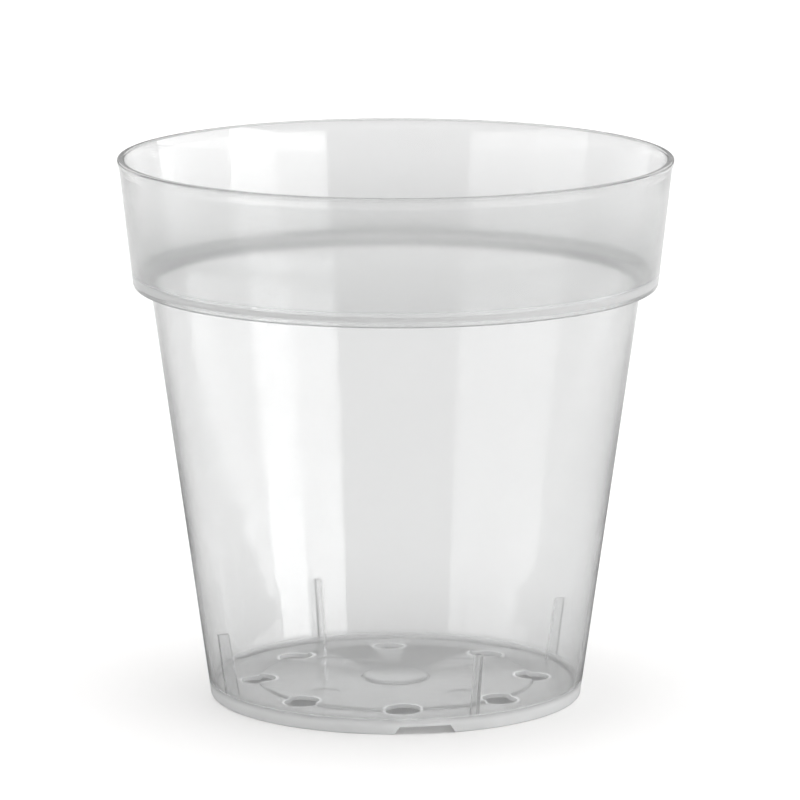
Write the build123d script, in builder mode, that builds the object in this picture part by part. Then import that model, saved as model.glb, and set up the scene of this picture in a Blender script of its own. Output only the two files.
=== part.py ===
"""Clear orchid pot: a one-piece moulding with a stepped collar, a drain floor and stacking ribs.

Millimetres, +Z up. The origin is on the ground, on the pot's axis. Azimuths are in degrees from
the front of the pot, which faces -Y, and grow towards +X.
"""

import os
from math import cos, radians, sqrt, tan

from build123d import *

# Main outline
rim_diameter = 120.0
pot_height = 118.0
foot_diameter = 80.8
collar_height = 27.6
collar_draft = 6.3
step_width = 3.7

# Walls
wall_thickness = 1.0
collar_thickness = 1.3
shelf_thickness = 1.3
floor_thickness = 0.9

# Rim lip
lip_height = 2.4
lip_overhang = 0.25
lip_taper = 1.7
lip_round = 1.8
rim_outer_round = 0.4
rim_inner_round = 0.4

# Step between the collar and the wall
shelf_corner_round = 0.6
shelf_fillet = 1.4
shelf_edge_round = 0.3

# Drain floor
floor_fillet = 0.8
plateau_diameter = 60.0
plateau_rise = 0.5
gate_disc_diameter = 14.6
gate_disc_rise = 0.55
drain_diameter = 7.5
drain_count = 8
drain_azimuth = 3.0
mark_diameter = 6.4
mark_depth = 0.15
mark_circle_diameter = 42.0
mark_count = 4
mark_azimuth = 43.0

# Feet and the notches between them
foot_height = 1.8
foot_thickness = 1.5
foot_edge_round = 0.4
notch_count = 3
notch_azimuth = 9.0
notch_ground_width = 13.2
notch_end_slant = 33.0

# Stacking ribs
rib_count = 4
rib_azimuth = 25.5
rib_thickness = 1.0
rib_height = 14.0
rib_depth_at_floor = 2.6
rib_depth_at_top = 2.1
rib_top_round = 0.3

# Levels above the ground
shelf_bottom = pot_height - collar_height
shelf_top = shelf_bottom + shelf_thickness
collar_bottom = shelf_top + shelf_fillet
floor_top = foot_height + floor_thickness
wall_bottom = floor_top + floor_fillet
plateau_top = floor_top + plateau_rise
gate_disc_top = plateau_top + gate_disc_rise
rib_top = floor_top + rib_height

# Radii and slopes of the collar and the wall
rim_radius = rim_diameter / 2
foot_radius = foot_diameter / 2
collar_slope = tan(radians(collar_draft))
collar_inset = collar_thickness / cos(radians(collar_draft))


def collar_outside(z):
    """Radius of the collar's outer face at a height."""
    return rim_radius - lip_overhang - collar_slope * (pot_height - z)


def collar_inside(z):
    """Radius of the collar's inner face at a height."""
    return collar_outside(z) - collar_inset


wall_top_radius = collar_outside(shelf_bottom) - step_width
wall_slope = (wall_top_radius - foot_radius) / shelf_bottom
wall_inset = wall_thickness * sqrt(1 + wall_slope**2)


def wall_outside(z):
    """Radius of the wall's outer face at a height."""
    return foot_radius + wall_slope * z


def wall_inside(z):
    """Radius of the wall's inner face at a height."""
    return wall_outside(z) - wall_inset


def turn_from_front(azimuth):
    """Angle about +Z from +X of a direction given by its azimuth from the front."""
    return azimuth - 90.0


def save(piece, name):
    """Label a finished piece and write it as a STEP file of the same name."""
    piece.part.label = name
    export_step(piece.part, f"parts/{name}.step")


os.makedirs("parts", exist_ok=True)

# Collar, with the lip that swells out softly around the rim
lip_bottom = pot_height - lip_height
with BuildPart() as collar:
    with BuildSketch(Plane.XZ):
        with BuildLine():
            FilletPolyline(
                (collar_inside(collar_bottom), collar_bottom),
                (collar_outside(collar_bottom), collar_bottom),
                (collar_outside(lip_bottom), lip_bottom),
                (rim_radius, lip_bottom + lip_taper),
                (rim_radius, pot_height),
                (collar_inside(pot_height), pot_height),
                radius=[0, 0, lip_round, lip_round, rim_outer_round, rim_inner_round],
                close=True,
            )
        make_face()
    revolve(axis=Axis.Z)
save(collar, "collar")

# Step shelf: the flat ring between wall and collar, up to the end of the fillet inside it
with BuildPart() as step_shelf:
    with BuildSketch(Plane.XZ):
        with BuildLine():
            FilletPolyline(
                (wall_inside(shelf_bottom), shelf_bottom),
                (collar_outside(shelf_bottom), shelf_bottom),
                (collar_outside(collar_bottom), collar_bottom),
                (collar_inside(collar_bottom), collar_bottom),
                (collar_inside(shelf_top), shelf_top),
                (wall_inside(shelf_top), shelf_top),
                radius=[0, shelf_corner_round, 0, 0, shelf_fillet, shelf_edge_round],
                close=True,
            )
        make_face()
    revolve(axis=Axis.Z)
save(step_shelf, "step_shelf")

# Side wall, from the floor's corner fillet up to the shelf
with BuildPart() as side_wall:
    with BuildSketch(Plane.XZ):
        with BuildLine():
            Polyline(
                (wall_inside(wall_bottom), wall_bottom),
                (wall_outside(wall_bottom), wall_bottom),
                (wall_outside(shelf_bottom), shelf_bottom),
                (wall_inside(shelf_bottom), shelf_bottom),
                close=True,
            )
        make_face()
    revolve(axis=Axis.Z)
save(side_wall, "side_wall")

# Floor: a tray whose middle steps up twice, each step at 45 degrees, with its underside parallel
plateau_radius = plateau_diameter / 2
gate_disc_radius = gate_disc_diameter / 2
under_shift = floor_thickness * tan(radians(45.0 / 2))
plateau_foot = plateau_radius + plateau_rise / 2
plateau_edge = plateau_radius - plateau_rise / 2
disc_foot = gate_disc_radius + gate_disc_rise / 2
disc_edge = gate_disc_radius - gate_disc_rise / 2
with BuildPart() as floor:
    with BuildSketch(Plane.XZ):
        with BuildLine():
            FilletPolyline(
                (0, gate_disc_top - floor_thickness),
                (disc_edge - under_shift, gate_disc_top - floor_thickness),
                (disc_foot - under_shift, plateau_top - floor_thickness),
                (plateau_edge - under_shift, plateau_top - floor_thickness),
                (plateau_foot - under_shift, foot_height),
                (wall_outside(foot_height), foot_height),
                (wall_outside(wall_bottom), wall_bottom),
                (wall_inside(wall_bottom), wall_bottom),
                (wall_inside(floor_top), floor_top),
                (plateau_foot, floor_top),
                (plateau_edge, plateau_top),
                (disc_foot, plateau_top),
                (disc_edge, gate_disc_top),
                (0, gate_disc_top),
                radius=[0] * 8 + [floor_fillet] + [0] * 5,
                close=True,
            )
        make_face()
    revolve(axis=Axis.Z)
    # Drain holes, half in the raised middle and half in the channel around it
    with PolarLocations(plateau_radius, drain_count, turn_from_front(drain_azimuth)):
        Hole(drain_diameter / 2)
    # Shallow round marks that the ejector pins leave
    with BuildSketch(Plane.XY.offset(plateau_top)):
        with PolarLocations(mark_circle_diameter / 2, mark_count, turn_from_front(mark_azimuth)):
            Circle(mark_diameter / 2)
    extrude(amount=-mark_depth, mode=Mode.SUBTRACT)
save(floor, "floor")

# Feet: a ring under the floor's edge, parted by notches with slanted ends
notch_end_run = foot_height * tan(radians(notch_end_slant))
with BuildPart() as foot_ring:
    with BuildSketch(Plane.XZ):
        with BuildLine():
            Polyline(
                (foot_radius - foot_thickness, 0),
                (foot_radius, 0),
                (wall_outside(foot_height), foot_height),
                (foot_radius - foot_thickness, foot_height),
                close=True,
            )
        make_face()
    revolve(axis=Axis.Z)
    for notch in PolarLocations(0, notch_count, turn_from_front(notch_azimuth)):
        with BuildSketch(Plane(notch) * Plane.YZ):
            with BuildLine():
                Polyline(
                    (-notch_ground_width / 2, 0),
                    (notch_ground_width / 2, 0),
                    (notch_ground_width / 2 - notch_end_run, foot_height),
                    (notch_end_run - notch_ground_width / 2, foot_height),
                    close=True,
                )
            make_face()
        extrude(amount=rim_radius, mode=Mode.SUBTRACT)
    fillet(foot_ring.edges().group_by(Axis.Z)[0], radius=foot_edge_round)

for index, arc in enumerate(foot_ring.solids().sort_by(Axis.X, reverse=True)):
    with BuildPart() as foot:
        add(arc)
    save(foot, f"foot_{index + 1}")

# Stacking ribs: upright blades whose backs follow the wall and the floor's corner fillet
with BuildPart() as rib_blade:
    with BuildSketch(Plane.XZ):
        with BuildLine():
            FilletPolyline(
                (wall_inside(floor_top) - rib_depth_at_floor, floor_top),
                (wall_outside(floor_top) - wall_inset / 2, floor_top),
                (wall_outside(rib_top) - wall_inset / 2, rib_top),
                (wall_inside(rib_top) - rib_depth_at_top, rib_top),
                radius=[0, 0, 0, rib_top_round],
                close=True,
            )
        make_face()
    extrude(amount=rib_thickness / 2, both=True)
    add(side_wall.part, mode=Mode.SUBTRACT)
    add(floor.part, mode=Mode.SUBTRACT)

for index in range(rib_count):
    with BuildPart() as rib:
        with PolarLocations(0, 1, turn_from_front(rib_azimuth) + index * 360.0 / rib_count):
            add(rib_blade.part)
    save(rib, f"stacking_rib_{index + 1}")
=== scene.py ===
"""Clear orchid pot: the looks of the one-piece moulding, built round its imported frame.

Metres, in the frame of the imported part: +Z up, origin on the ground on the pot's axis, and -Y
towards the front. Azimuths are in degrees from the front and grow towards +X.
"""

from math import cos, pi, radians, sin, sqrt, tan

import bmesh
import bpy
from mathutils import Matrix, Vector


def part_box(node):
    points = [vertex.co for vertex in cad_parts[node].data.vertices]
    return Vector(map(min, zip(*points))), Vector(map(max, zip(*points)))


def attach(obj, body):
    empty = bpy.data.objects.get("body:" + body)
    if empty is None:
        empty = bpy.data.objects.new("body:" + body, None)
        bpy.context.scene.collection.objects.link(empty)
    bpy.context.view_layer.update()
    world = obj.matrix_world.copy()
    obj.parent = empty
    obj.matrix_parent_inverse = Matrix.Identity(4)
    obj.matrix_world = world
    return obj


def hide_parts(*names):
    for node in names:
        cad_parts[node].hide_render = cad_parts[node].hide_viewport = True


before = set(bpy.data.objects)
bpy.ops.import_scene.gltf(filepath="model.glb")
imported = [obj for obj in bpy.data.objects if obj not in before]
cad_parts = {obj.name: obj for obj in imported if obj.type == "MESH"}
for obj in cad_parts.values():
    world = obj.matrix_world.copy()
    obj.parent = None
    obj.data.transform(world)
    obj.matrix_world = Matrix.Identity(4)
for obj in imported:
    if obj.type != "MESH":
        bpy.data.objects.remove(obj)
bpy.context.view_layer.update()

MM = 0.001

# Levels and radii read from the frame
rim_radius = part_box("collar")[1].x
pot_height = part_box("collar")[1].z
collar_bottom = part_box("collar")[0].z
shelf_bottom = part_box("step_shelf")[0].z
wall_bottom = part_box("side_wall")[0].z
wall_top_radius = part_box("side_wall")[1].x
wall_bottom_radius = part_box("floor")[1].x
foot_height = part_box("floor")[0].z
disc_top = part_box("floor")[1].z
rib_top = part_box("stacking_rib_1")[1].z
floor_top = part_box("stacking_rib_1")[0].z

# Moulded sizes that the boxes don't give
wall_thickness = 1.0 * MM
collar_thickness = 1.3 * MM
shelf_thickness = 1.3 * MM
collar_draft = radians(6.3)
lip_height = 2.4 * MM
lip_overhang = 0.25 * MM
lip_taper = 1.7 * MM
lip_round = 1.8 * MM
rim_round = 0.4 * MM
shelf_corner_round = 0.6 * MM
shelf_edge_round = 0.3 * MM
neck_fillet = 0.4 * MM
floor_step_round = 0.25 * MM
floor_step_slope = radians(45.0)
plateau_radius = 30.0 * MM
plateau_rise = 0.5 * MM
disc_radius = 7.3 * MM
drain_radius = 3.75 * MM
drain_count = 8
drain_azimuth = 3.0
mark_radius = 3.2 * MM
mark_depth = 0.15 * MM
mark_circle_radius = 21.0 * MM
mark_count = 4
mark_azimuth = 43.0
foot_thickness = 1.5 * MM
foot_edge_round = 0.4 * MM
notch_count = 3
notch_azimuth = 9.0
notch_ground_width = 13.2 * MM
notch_end_slant = radians(33.0)
notch_corner_round = 0.7 * MM
rib_count = 4
rib_azimuth = 25.5
rib_thickness = 1.0 * MM
rib_depth_at_floor = 2.6 * MM
rib_depth_at_top = 2.1 * MM
rib_edge_round = 0.2 * MM

# Derived slopes and levels
collar_slope = tan(collar_draft)
collar_inset = collar_thickness / cos(collar_draft)
wall_slope = (wall_top_radius - wall_bottom_radius) / (shelf_bottom - wall_bottom)
wall_inset = wall_thickness * sqrt(1 + wall_slope**2)
shelf_top = shelf_bottom + shelf_thickness
shelf_fillet = collar_bottom - shelf_top
floor_fillet = wall_bottom - floor_top
plateau_top = floor_top + plateau_rise
floor_thickness = floor_top - foot_height
disc_rise = disc_top - plateau_top

# Fineness of the mesh
spin_steps = 256
round_segments = 6
wall_rings = 16
collar_rings = 5
peg_sides = 64
same_spot = 0.001 * MM
seam_reach = 0.002 * MM
smooth_angle = radians(32.0)

# Tools that cut the floor and the standing ring
cut_top = 6.0 * MM
drain_cut_bottom = 0.2 * MM
notch_cut_depth = 6.0 * MM
notch_cut_margin = 2.0 * MM
notch_ground_gap = 0.02 * MM
notch_skin = 0.03 * MM

# Milk in the skin, as a share of the surface
wall_milk = 0.01
collar_milk = 0.02
lip_milk = 0.05
belt_milk = 0.5
shelf_underside_milk = 0.1
brim_milk = 0.2
floor_underside_milk = 0.5
# White milk on the drain hole edges, a painted highlight where rounded edges would catch the light
hole_edge_highlight_milk = 0.8
corner_milk = 0.6
rib_face_milk = 0.05
milk_roughness = 0.4
milk_lightness = 0.97
collar_milk_lightness = 0.74

# Clear plastic
plastic_ior = 1.49
pure_white = (1.0, 1.0, 1.0, 1.0)
clear_lightness = 0.985
# Painted shade that greys the clear plastic down the collar
low_collar_shade_lightness = 0.82
# Painted shade: a dark line on the rim's top edge
rim_edge_shade_lightness = 0.6
cool_trace = 0.005
gloss_roughness = 0.025
upper_roughness = 0.05
floor_roughness = 0.14
cloud_roughness = 0.02
cloud_scale = 32.0
flow_stretch = 2.6
wave_strength = 0.15
wave_height = 0.4 * MM
depth_density = 90.0
depth_forward = 0.2

# Studio
studio_floor_size = 8.0
paper_white = (0.92, 0.915, 0.91, 1.0)
# Painted shade and reflection: the paper is white only to the camera, greyer for every other ray and dark in
# its mirror image near the pot
paper_shade_through_plastic = (0.7, 0.7, 0.7, 1.0)
paper_mirror_shade = (0.15, 0.15, 0.15, 1.0)
paper_roughness = 0.9
fibre_roughness = 0.05
fibre_scale = 600.0
mirror_shade_start = 0.2
mirror_shade_end = 0.45
side_elevation = 4.2
side_distance = 1.2
side_height = 0.3
ceiling_start = 0.6
ceiling_full = 0.9
horizon_light = 0.25
ceiling_light = 2.4

# Camera
sensor_width = 36.0
lens_length = 258.36
sideways_shift = 4.3 / 800
camera_place = (0, -1.22427, 0.29788)
camera_dip = radians(10.786)


def collar_outside(z):
    """Radius of the collar's outer face at a height."""
    return rim_radius - lip_overhang - collar_slope * (pot_height - z)


def collar_inside(z):
    """Radius of the collar's inner face at a height."""
    return collar_outside(z) - collar_inset


def wall_outside(z):
    """Radius of the wall's outer face at a height."""
    return wall_bottom_radius + wall_slope * (z - wall_bottom)


def wall_inside(z):
    """Radius of the wall's inner face at a height."""
    return wall_outside(z) - wall_inset


foot_radius = wall_outside(0)


def deselect_all():
    """Go back to object mode with nothing selected."""
    if bpy.context.object and bpy.context.object.mode != "OBJECT":
        bpy.ops.object.mode_set(mode="OBJECT")
    bpy.ops.object.select_all(action="DESELECT")


def pick(piece):
    """Make one piece the only one selected."""
    deselect_all()
    piece.select_set(True)
    bpy.context.view_layer.objects.active = piece


def edit(piece):
    """Open one piece in edit mode with all of it selected."""
    pick(piece)
    bpy.ops.object.mode_set(mode="EDIT")
    bpy.ops.mesh.select_all(action="SELECT")


def settle(piece):
    """Put a piece's place and turn into its mesh."""
    pick(piece)
    bpy.ops.object.transform_apply(location=True, rotation=True, scale=True)


def select_vertices(piece, wanted):
    """Select the vertices whose place passes a test."""
    bpy.ops.mesh.select_mode(type="VERT")
    bpy.ops.mesh.select_all(action="DESELECT")
    mesh = bmesh.from_edit_mesh(piece.data)
    for vertex in mesh.verts:
        vertex.select = wanted(vertex.co)
    mesh.select_flush_mode()
    bmesh.update_edit_mesh(piece.data)


def round_corner(piece, before, corner, after):
    """Bevel one corner of a section line to its rounding."""
    place = Vector((corner[0], 0, corner[1]))
    way_in = place - Vector((before[0], 0, before[1]))
    way_out = Vector((after[0], 0, after[1])) - place
    tangent = corner[2] * tan(way_in.angle(way_out) / 2)
    select_vertices(piece, lambda spot: (spot - place).length < same_spot)
    bpy.ops.mesh.bevel(offset=tangent, affect="VERTICES", segments=round_segments, profile=0.5)


def draw_section(name, corners):
    """Draw a line in the XZ plane by extruding one vertex from corner to corner.

    A corner is a distance from the axis, a height and a rounding. It stays in edit mode."""
    deselect_all()
    bpy.ops.mesh.primitive_plane_add(size=MM, location=(corners[0][0], 0, corners[0][1]))
    piece = bpy.context.object
    piece.name = name
    settle(piece)
    edit(piece)
    bpy.ops.mesh.merge(type="CENTER")
    for (r0, z0, _), (r1, z1, _) in zip(corners, corners[1:]):
        bpy.ops.mesh.extrude_region_move(TRANSFORM_OT_translate={"value": (r1 - r0, 0, z1 - z0)})
    for before, corner, after in zip(corners, corners[1:], corners[2:]):
        if corner[2] > 0:
            round_corner(piece, before, corner, after)
    bpy.ops.mesh.select_all(action="SELECT")
    return piece


def spin_round(piece):
    """Spin a section line once round the pot's axis into a closed skin."""
    edit(piece)
    bpy.ops.mesh.spin(steps=spin_steps, angle=2 * pi, center=(0, 0, 0), axis=(0, 0, 1))
    bpy.ops.mesh.select_all(action="SELECT")
    bpy.ops.mesh.remove_doubles(threshold=seam_reach)
    bpy.ops.mesh.normals_make_consistent(inside=False)
    deselect_all()


def thicken(piece, start, reach):
    """Fill a section line as a face and extrude it along Y from a start, for a reach."""
    edit(piece)
    bpy.ops.mesh.edge_face_add()
    bpy.ops.transform.translate(value=(0, start, 0))
    bpy.ops.mesh.extrude_region_move(TRANSFORM_OT_translate={"value": (0, reach, 0)})
    bpy.ops.mesh.select_all(action="SELECT")
    bpy.ops.mesh.normals_make_consistent(inside=False)
    deselect_all()


def repeat_round(piece, count, turn):
    """Copy a shape evenly round the pot's axis, then turn the whole ring by an angle in degrees."""
    edit(piece)
    for _ in range(count - 1):
        bpy.ops.mesh.duplicate()
        bpy.ops.transform.rotate(value=2 * pi / count, orient_axis="Z", center_override=(0, 0, 0))
    deselect_all()
    piece.rotation_euler.z = radians(turn)
    settle(piece)


def combine(piece, tool, operation):
    """Cut a tool shape out of a piece, or join it on, and drop the tool."""
    pick(piece)
    modifier = piece.modifiers.new("combine", "BOOLEAN")
    modifier.operation = operation
    modifier.solver = "EXACT"
    modifier.object = tool
    bpy.ops.object.modifier_apply(modifier=modifier.name)
    bpy.data.objects.remove(tool)


def floor_underside():
    """Corners under the floor, from the axis outwards, and round the standing ring."""
    shift = floor_thickness * tan(floor_step_slope / 2)
    return [
        (0, disc_top - floor_thickness, 0),
        (disc_radius - disc_rise / 2 - shift, disc_top - floor_thickness, floor_step_round),
        (disc_radius + disc_rise / 2 - shift, plateau_top - floor_thickness, floor_step_round),
        (plateau_radius - plateau_rise / 2 - shift, plateau_top - floor_thickness, floor_step_round),
        (plateau_radius + plateau_rise / 2 - shift, foot_height, floor_step_round),
        (foot_radius - foot_thickness, foot_height, 0),
        (foot_radius - foot_thickness, 0, foot_edge_round),
        (foot_radius, 0, foot_edge_round),
    ]


def wall_line(radius_at):
    """Corners up one face of the wall, between its ends."""
    reach = shelf_bottom - wall_bottom
    heights = [wall_bottom + reach * ring / wall_rings for ring in range(1, wall_rings)]
    return [(radius_at(z), z, 0) for z in heights]


def collar_line(radius_at):
    """Corners up one face of the collar, between its ends."""
    reach = pot_height - lip_height - collar_bottom
    heights = [collar_bottom + reach * ring / collar_rings for ring in range(1, collar_rings)]
    return [(radius_at(z), z, 0) for z in heights]


def rim_outline():
    """Corners from the step up to the rim lip and over it to the inside."""
    lip_bottom = pot_height - lip_height
    return [
        (collar_outside(lip_bottom), lip_bottom, lip_round),
        (rim_radius, lip_bottom + lip_taper, lip_round),
        (rim_radius, pot_height, rim_round),
        (collar_inside(pot_height), pot_height, rim_round),
    ]


def floor_upperside():
    """Corners of the floor's upper face, from the wall inwards to the axis."""
    return [
        (wall_inside(floor_top), floor_top, floor_fillet),
        (plateau_radius + plateau_rise / 2, floor_top, floor_step_round),
        (plateau_radius - plateau_rise / 2, plateau_top, floor_step_round),
        (disc_radius + disc_rise / 2, plateau_top, floor_step_round),
        (disc_radius - disc_rise / 2, disc_top, floor_step_round),
        (0, disc_top, 0),
    ]


def pot_section():
    """The pot's whole section, from the axis under the floor round to the axis above it."""
    step_outside = [
        (wall_outside(shelf_bottom), shelf_bottom, neck_fillet),
        (collar_outside(shelf_bottom), shelf_bottom, shelf_corner_round),
    ]
    step_inside = [
        (collar_inside(shelf_top), shelf_top, shelf_fillet),
        (wall_inside(shelf_top), shelf_top, shelf_edge_round),
    ]
    outside = floor_underside() + wall_line(wall_outside) + step_outside + collar_line(collar_outside)
    inside = collar_line(collar_inside)[::-1] + step_inside + wall_line(wall_inside)[::-1]
    return outside + rim_outline() + inside + floor_upperside()


def round_pegs(name, radius, circle_radius, count, azimuth, bottom):
    """Upright round pegs on a circle, as one tool shape."""
    middle = (0, -circle_radius, (bottom + cut_top) / 2)
    deselect_all()
    bpy.ops.mesh.primitive_cylinder_add(
        vertices=peg_sides, radius=radius, depth=cut_top - bottom, location=middle
    )
    pegs = bpy.context.object
    pegs.name = name
    settle(pegs)
    repeat_round(pegs, count, azimuth)
    return pegs


def notch_wedges():
    """Wedges that part the standing ring into feet, with rounded lower corners."""
    half = notch_ground_width / 2
    side = half + notch_cut_margin
    low = -notch_cut_margin / 2
    ground = -notch_ground_gap
    top = foot_height - notch_skin
    run = top * tan(notch_end_slant)
    corners = [
        (-side, low, 0),
        (side, low, 0),
        (side, ground, 0),
        (half, ground, notch_corner_round),
        (half - run, top, rib_edge_round),
        (run - half, top, rib_edge_round),
        (-half, ground, notch_corner_round),
        (-side, ground, 0),
    ]
    wedges = draw_section("notch_cutter", corners)
    thicken(wedges, -foot_radius - notch_cut_depth / 2, notch_cut_depth)
    repeat_round(wedges, notch_count, notch_azimuth)
    return wedges


def stacking_ribs():
    """Upright blades where the wall meets the floor, rooted a little way into both."""
    root = floor_top - floor_thickness / 3
    corners = [
        (wall_outside(floor_top) - wall_inset / 2, root, 0),
        (wall_outside(rib_top) - wall_inset / 2, rib_top, 0),
        (wall_inside(rib_top) - rib_depth_at_top, rib_top, rib_edge_round),
        (wall_inside(floor_top) - rib_depth_at_floor, root, 0),
    ]
    ribs = draw_section("rib_blades", corners)
    thicken(ribs, -rib_thickness / 2, rib_thickness)
    repeat_round(ribs, rib_count, rib_azimuth - 90)
    return ribs


def make_pot():
    """The whole pot as one clear skin."""
    pot = draw_section("clear_pot", pot_section())
    spin_round(pot)
    combine(pot, stacking_ribs(), "UNION")
    drains = round_pegs(
        "drain_cutter", drain_radius, plateau_radius, drain_count, drain_azimuth, drain_cut_bottom
    )
    combine(pot, drains, "DIFFERENCE")
    mark_bottom = plateau_top - mark_depth
    marks = round_pegs("mark_cutter", mark_radius, mark_circle_radius, mark_count, mark_azimuth, mark_bottom)
    combine(pot, marks, "DIFFERENCE")
    combine(pot, notch_wedges(), "DIFFERENCE")
    pick(pot)
    bpy.ops.object.shade_smooth_by_angle(angle=smooth_angle)
    return pot


class Socket:
    """An output of a shader node that can be reckoned with like a number."""

    def __init__(self, tree, output):
        self.tree = tree
        self.output = output

    def node(self, kind, settings, inputs, output=0):
        """Add any node: its settings first, then its inputs as values or sockets."""
        made = self.tree.nodes.new(kind)
        for name, value in settings.items():
            setattr(made, name, value)
        for name, value in inputs.items():
            if isinstance(value, Socket):
                self.tree.links.new(value.output, made.inputs[name])
            else:
                made.inputs[name].default_value = value
        return Socket(self.tree, made.outputs[output])

    def math(self, operation, first, second=0.0):
        """Add a Math node on one or two values or sockets."""
        return self.node("ShaderNodeMath", {"operation": operation}, {0: first, 1: second})

    def __add__(self, other):
        return self.math("ADD", self, other)

    def __radd__(self, other):
        return self.math("ADD", other, self)

    def __sub__(self, other):
        return self.math("SUBTRACT", self, other)

    def __rsub__(self, other):
        return self.math("SUBTRACT", other, self)

    def __mul__(self, other):
        return self.math("MULTIPLY", self, other)

    def __rmul__(self, other):
        return self.math("MULTIPLY", other, self)


def new_material(name):
    """An empty material, its output node and its object coordinates."""
    material = bpy.data.materials.new(name)
    material.use_nodes = True
    tree = material.node_tree
    tree.nodes.clear()
    out = tree.nodes.new("ShaderNodeOutputMaterial")
    place = tree.nodes.new("ShaderNodeTexCoord")
    return material, out, Socket(tree, place.outputs["Object"])


def coordinate(place, axis):
    """One coordinate of a place: 0 is across, 1 is along and 2 is up."""
    return place.node("ShaderNodeSeparateXYZ", {}, {0: place}, output=axis)


def stretched(place, factors):
    """A place with each coordinate multiplied by its own factor."""
    return place.node("ShaderNodeVectorMath", {"operation": "MULTIPLY"}, {0: place, 1: factors})


def length_of(place):
    """How far a place is from the origin."""
    return place.node("ShaderNodeVectorMath", {"operation": "LENGTH"}, {0: place}, output="Value")


def grey(lightness):
    """A neutral colour, a trace cooler than its lightness in red."""
    return (lightness, lightness + cool_trace, lightness + cool_trace, 1.0)


def mixed(share, first, second):
    """A colour that goes from the first to the second as a share grows from 0 to 1."""
    return share.node(
        "ShaderNodeMix", {"data_type": "RGBA"}, {"Factor": share, 6: first, 7: second}, output=2
    )


def ramp(value, start, end):
    """A soft share that grows from 0 to 1 as a value goes from a start to an end."""
    return value.node(
        "ShaderNodeMapRange",
        {"interpolation_type": "SMOOTHSTEP"},
        {"Value": value, "From Min": start, "From Max": end},
    )


def collar_share(height):
    """1 on the step and the collar, 0 below them."""
    return ramp(height, shelf_bottom - 0.3 * MM, shelf_bottom + 0.3 * MM)


def low_collar_shade_share(height):
    """Painted shade, 0 at the rim and under the top of the shelf, growing to 1 down the collar."""
    above_shelf = ramp(height, shelf_top - 0.4 * MM, shelf_top - 0.1 * MM)
    return above_shelf * ramp(height, pot_height, collar_bottom)


def rim_edge_shade_share(height):
    """1 on the rim's top edge, where a dark line of painted shade goes, 0 below it."""
    return ramp(height, pot_height - 1.2 * rim_round, pot_height - 0.6 * rim_round)


def hole_edge_share(place, radius):
    """1 on the edges of the drain holes, where the painted highlight goes, 0 elsewhere."""
    turn = place.math("ARCTAN2", coordinate(place, 0), -1 * coordinate(place, 1))
    off_hole = place.math("PINGPONG", turn - radians(drain_azimuth), pi / drain_count)
    towards_hole = 2 * plateau_radius * radius * place.math("COSINE", off_hole)
    apart = place.math("SQRT", radius * radius + plateau_radius**2 - towards_hole)
    return ramp(apart, drain_radius + 0.9 * MM, drain_radius + 0.4 * MM)


def step_milk(height, radius):
    """Milk round the step: on a belt outside it, on its underside and on its inner brim."""
    collar_face = rim_radius - lip_overhang - collar_slope * pot_height
    outside = ramp(radius - collar_slope * height, collar_face - 0.7 * MM, collar_face - 0.2 * MM)
    belt = outside * ramp(height, collar_bottom + 1.2 * MM, collar_bottom - 0.3 * MM)
    belt = belt * ramp(height, shelf_top - 0.6 * MM, shelf_top)
    underside = ramp(height, shelf_bottom - 0.4 * MM, shelf_bottom)
    underside = underside * ramp(height, shelf_bottom + 0.5 * MM, shelf_bottom + 0.2 * MM)
    wall_face = foot_radius - wall_inset
    brim = ramp(radius - wall_slope * height, wall_face + 0.8 * MM, wall_face + 0.4 * MM)
    brim = brim * ramp(height, shelf_top - 0.5 * MM, shelf_top - 0.2 * MM)
    brim = brim * ramp(height, shelf_top + 0.3 * MM, shelf_top)
    return belt_milk * belt + shelf_underside_milk * underside + brim_milk * brim


def floor_milk(place, height, radius):
    """Milk under the floor and on the corner below the wall, and white milk as a painted highlight on the
    edges of its holes.
    """
    outside = ramp(radius - wall_slope * height, foot_radius - 0.6 * MM, foot_radius - 0.3 * MM)
    corner = outside * ramp(height, floor_top + 2.0 * MM, floor_top - 0.8 * MM)
    on_plateau = ramp(radius, plateau_radius + plateau_rise, plateau_radius - plateau_rise)
    on_disc = ramp(radius, disc_radius + disc_rise, disc_radius - disc_rise)
    middle = foot_height + floor_thickness / 2 + plateau_rise * on_plateau + disc_rise * on_disc
    underside = ramp(height - middle, 0.1 * MM, -0.1 * MM) * (1 - outside)
    # Painted highlight: white milk on the drain hole edges
    hole_edge = hole_edge_share(place, radius) * ramp(height, disc_top + MM, disc_top)
    inside = place.math("MAXIMUM", floor_underside_milk * underside, hole_edge_highlight_milk * hole_edge)
    return inside + corner_milk * corner


def rib_milk(height, radius):
    """Milk on the ribs, above the floor."""
    wall_face = foot_radius - wall_inset
    inwards = ramp(radius - wall_slope * height, wall_face - 0.1 * MM, wall_face - 0.25 * MM)
    return rib_face_milk * inwards * ramp(height, disc_top, disc_top + MM)


def milkiness(place, height):
    """How milky the skin is all over, which is most at the thick corners and under the floor; on the hole
    edges the milk is a painted highlight.
    """
    radius = length_of(stretched(place, (1.0, 1.0, 0.0)))
    lip = ramp(height, pot_height - lip_height, pot_height - rim_round)
    high = collar_milk * collar_share(height) + step_milk(height, radius) + lip_milk * lip
    low = floor_milk(place, height, radius) + rib_milk(height, radius)
    return wall_milk + high + low


def skin_roughness(height, cloud):
    """Glossy near the floor and on the lip, softer up the wall and satin on the floor."""
    up_the_wall = ramp(height, 0.15 * pot_height, 0.5 * pot_height)
    lip = ramp(height, pot_height - lip_height, pot_height - lip_height / 2)
    floor = ramp(height, disc_top + MM, disc_top + 0.2 * MM)
    softer = upper_roughness * up_the_wall * (1 - lip) + floor_roughness * floor
    return gloss_roughness + softer + cloud_roughness * cloud


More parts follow.
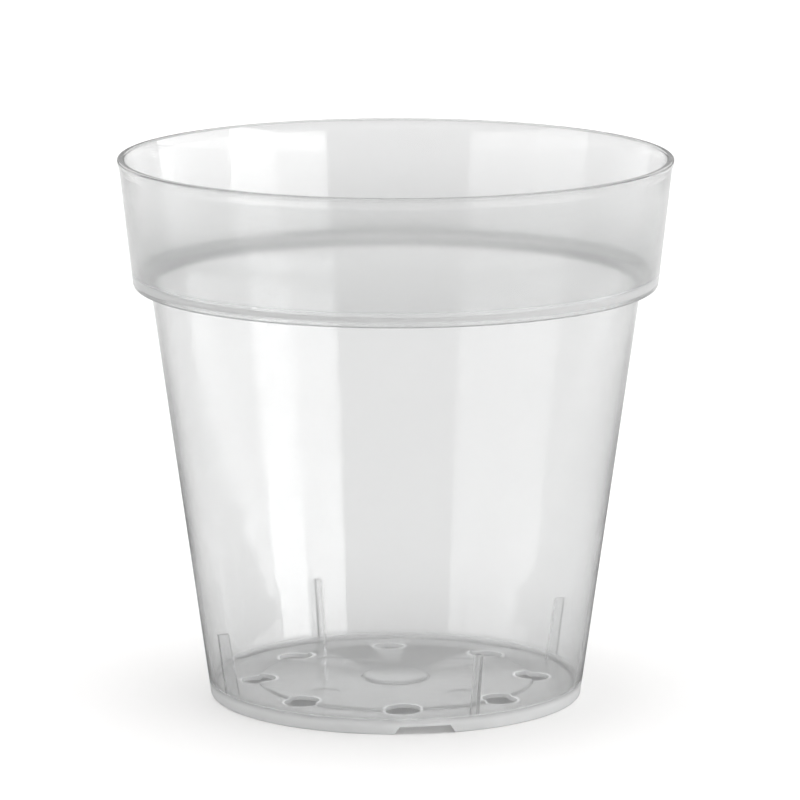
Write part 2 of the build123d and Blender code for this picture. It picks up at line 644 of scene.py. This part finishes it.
def clear_plastic():
    """Clear polypropylene, milky where it is thick, with the faint waves of a moulded skin, painted shade
    down the collar and on the rim's top edge, and a painted highlight on the drain hole edges.
    """
    material, out, place = new_material("clear_plastic")
    height = coordinate(place, 2)
    flow = stretched(place, (1.0, 1.0, flow_stretch))
    cloud = place.node("ShaderNodeTexNoise", {}, {"Vector": flow, "Scale": cloud_scale, "Detail": 1.0})
    clear = mixed(cloud, grey(clear_lightness), pure_white)
    # Painted shade: the clear plastic greys down the collar
    tone_and_painted_shade = mixed(low_collar_shade_share(height), clear, grey(low_collar_shade_lightness))
    # Painted shade: a dark line along the rim's top edge
    tone_and_painted_shade = mixed(rim_edge_shade_share(height), tone_and_painted_shade, grey(rim_edge_shade_lightness))
    white = mixed(collar_share(height), grey(milk_lightness), grey(collar_milk_lightness))
    wave = place.node(
        "ShaderNodeBump", {}, {"Strength": wave_strength, "Distance": wave_height, "Height": cloud}
    )
    glass = place.node(
        "ShaderNodeBsdfPrincipled",
        {},
        {
            "Base Color": tone_and_painted_shade,
            "Roughness": skin_roughness(height, cloud),
            "IOR": plastic_ior,
            "Transmission Weight": 1.0,
            "Normal": wave,
        },
    )
    milk = place.node(
        "ShaderNodeBsdfPrincipled",
        {},
        {"Base Color": white, "Roughness": milk_roughness, "Normal": wave},
    )
    plastic = place.node("ShaderNodeMixShader", {}, {0: milkiness(place, height), 1: glass, 2: milk})
    depth = place.node(
        "ShaderNodeVolumeScatter",
        {},
        {"Color": pure_white, "Density": depth_density, "Anisotropy": depth_forward},
    )
    material.node_tree.links.new(plastic.output, out.inputs["Surface"])
    material.node_tree.links.new(depth.output, out.inputs["Volume"])
    return material


def pale_ground():
    """Matt white studio paper to the camera, with painted shade through the plastic and a painted dark
    reflection near the pot.
    """
    material, out, place = new_material("pale_ground")
    fibre = place.node("ShaderNodeTexNoise", {}, {"Vector": place, "Scale": fibre_scale, "Detail": 2.0})
    seen = place.node("ShaderNodeLightPath", {}, {}, output="Is Camera Ray")
    reflected = place.node("ShaderNodeLightPath", {}, {}, output="Is Reflection Ray")
    scattered = place.node("ShaderNodeLightPath", {}, {}, output="Is Diffuse Ray")
    near = place.node(
        "ShaderNodeMapRange",
        {},
        {"Value": length_of(place), "From Min": mirror_shade_end, "From Max": mirror_shade_start},
    )
    # Painted dark reflection: the paper's mirror image darkens near the pot
    mirror_shade_share = reflected * (1 - scattered) * near
    dimmer = mixed(mirror_shade_share, paper_shade_through_plastic, paper_mirror_shade)
    # Painted shade: the paper is white only to the camera
    white = mixed(seen, dimmer, paper_white)
    paper = place.node(
        "ShaderNodeBsdfPrincipled",
        {},
        {
            "Base Color": white,
            "Roughness": paper_roughness + fibre_roughness * fibre,
            "Specular IOR Level": 0.0,
        },
    )
    material.node_tree.links.new(paper.output, out.inputs["Surface"])
    return material


def make_ground():
    """A large plain floor."""
    deselect_all()
    bpy.ops.mesh.primitive_plane_add(size=studio_floor_size, location=(0, 0, 0))
    ground = bpy.context.object
    ground.name = "studio_floor"
    ground.data.materials.append(pale_ground())


def softbox(name, azimuth, elevation, distance, width, height, power):
    """A soft panel of light that faces the pot."""
    data = bpy.data.lights.new(name, "AREA")
    data.shape = "RECTANGLE"
    data.size = width
    data.size_y = height
    data.energy = power
    lamp = bpy.data.objects.new(name, data)
    target = Vector((0, 0, pot_height / 2))
    reach = distance * cos(radians(elevation))
    rise = distance * sin(radians(elevation))
    lamp.location = target + Vector((reach * sin(radians(azimuth)), -reach * cos(radians(azimuth)), rise))
    lamp.rotation_euler = (target - lamp.location).to_track_quat("-Z", "Y").to_euler()
    bpy.context.scene.collection.objects.link(lamp)


def side_panel(name, azimuth, width, power):
    """A low soft panel that stands on the floor beside the pot."""
    softbox(name, azimuth, side_elevation, side_distance, width, side_height, power)


def make_room():
    """A bright ceiling that darkens towards the horizon."""
    world = bpy.data.worlds.new("room")
    world.use_nodes = True
    tree = world.node_tree
    way = Socket(tree, tree.nodes.new("ShaderNodeTexCoord").outputs["Generated"])
    ceiling = way.node(
        "ShaderNodeMapRange",
        {"interpolation_type": "SMOOTHSTEP"},
        {
            "Value": coordinate(way, 2),
            "From Min": ceiling_start,
            "From Max": ceiling_full,
            "To Min": horizon_light,
            "To Max": ceiling_light,
        },
    )
    tree.links.new(ceiling.output, tree.nodes["Background"].inputs["Color"])
    bpy.context.scene.world = world


def make_light():
    """Soft panels at the sides and one high at the back, in the room."""
    side_panel("right_front_panel", 43, width=0.5, power=1.8)
    side_panel("right_panel", 67, width=0.5, power=2.7)
    side_panel("right_back_panel", 102, width=1.1, power=3.0)
    side_panel("left_panel", -50, width=0.7, power=1.25)
    side_panel("left_back_panel", -80, width=0.6, power=1.2)
    side_panel("left_far_panel", -120, width=1.1, power=0.9)
    softbox("back_panel", 180, elevation=19.7, distance=2.6, width=6.0, height=0.8, power=18.0)
    make_room()


def make_camera():
    """A long lens at the photograph's place."""
    data = bpy.data.cameras.new("camera")
    data.sensor_width = sensor_width
    data.lens = lens_length
    data.shift_x = sideways_shift
    camera = bpy.data.objects.new("camera", data)
    camera.location = camera_place
    camera.rotation_euler = (pi / 2 - camera_dip, 0, 0)
    bpy.context.scene.collection.objects.link(camera)
    bpy.context.scene.camera = camera


pot = make_pot()
pot.data.materials.append(clear_plastic())
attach(pot, "root")
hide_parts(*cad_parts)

make_ground()
make_light()
make_camera()
bpy.context.scene.view_settings.view_transform = "Standard"
bpy.context.scene.cycles.volume_bounces = 8
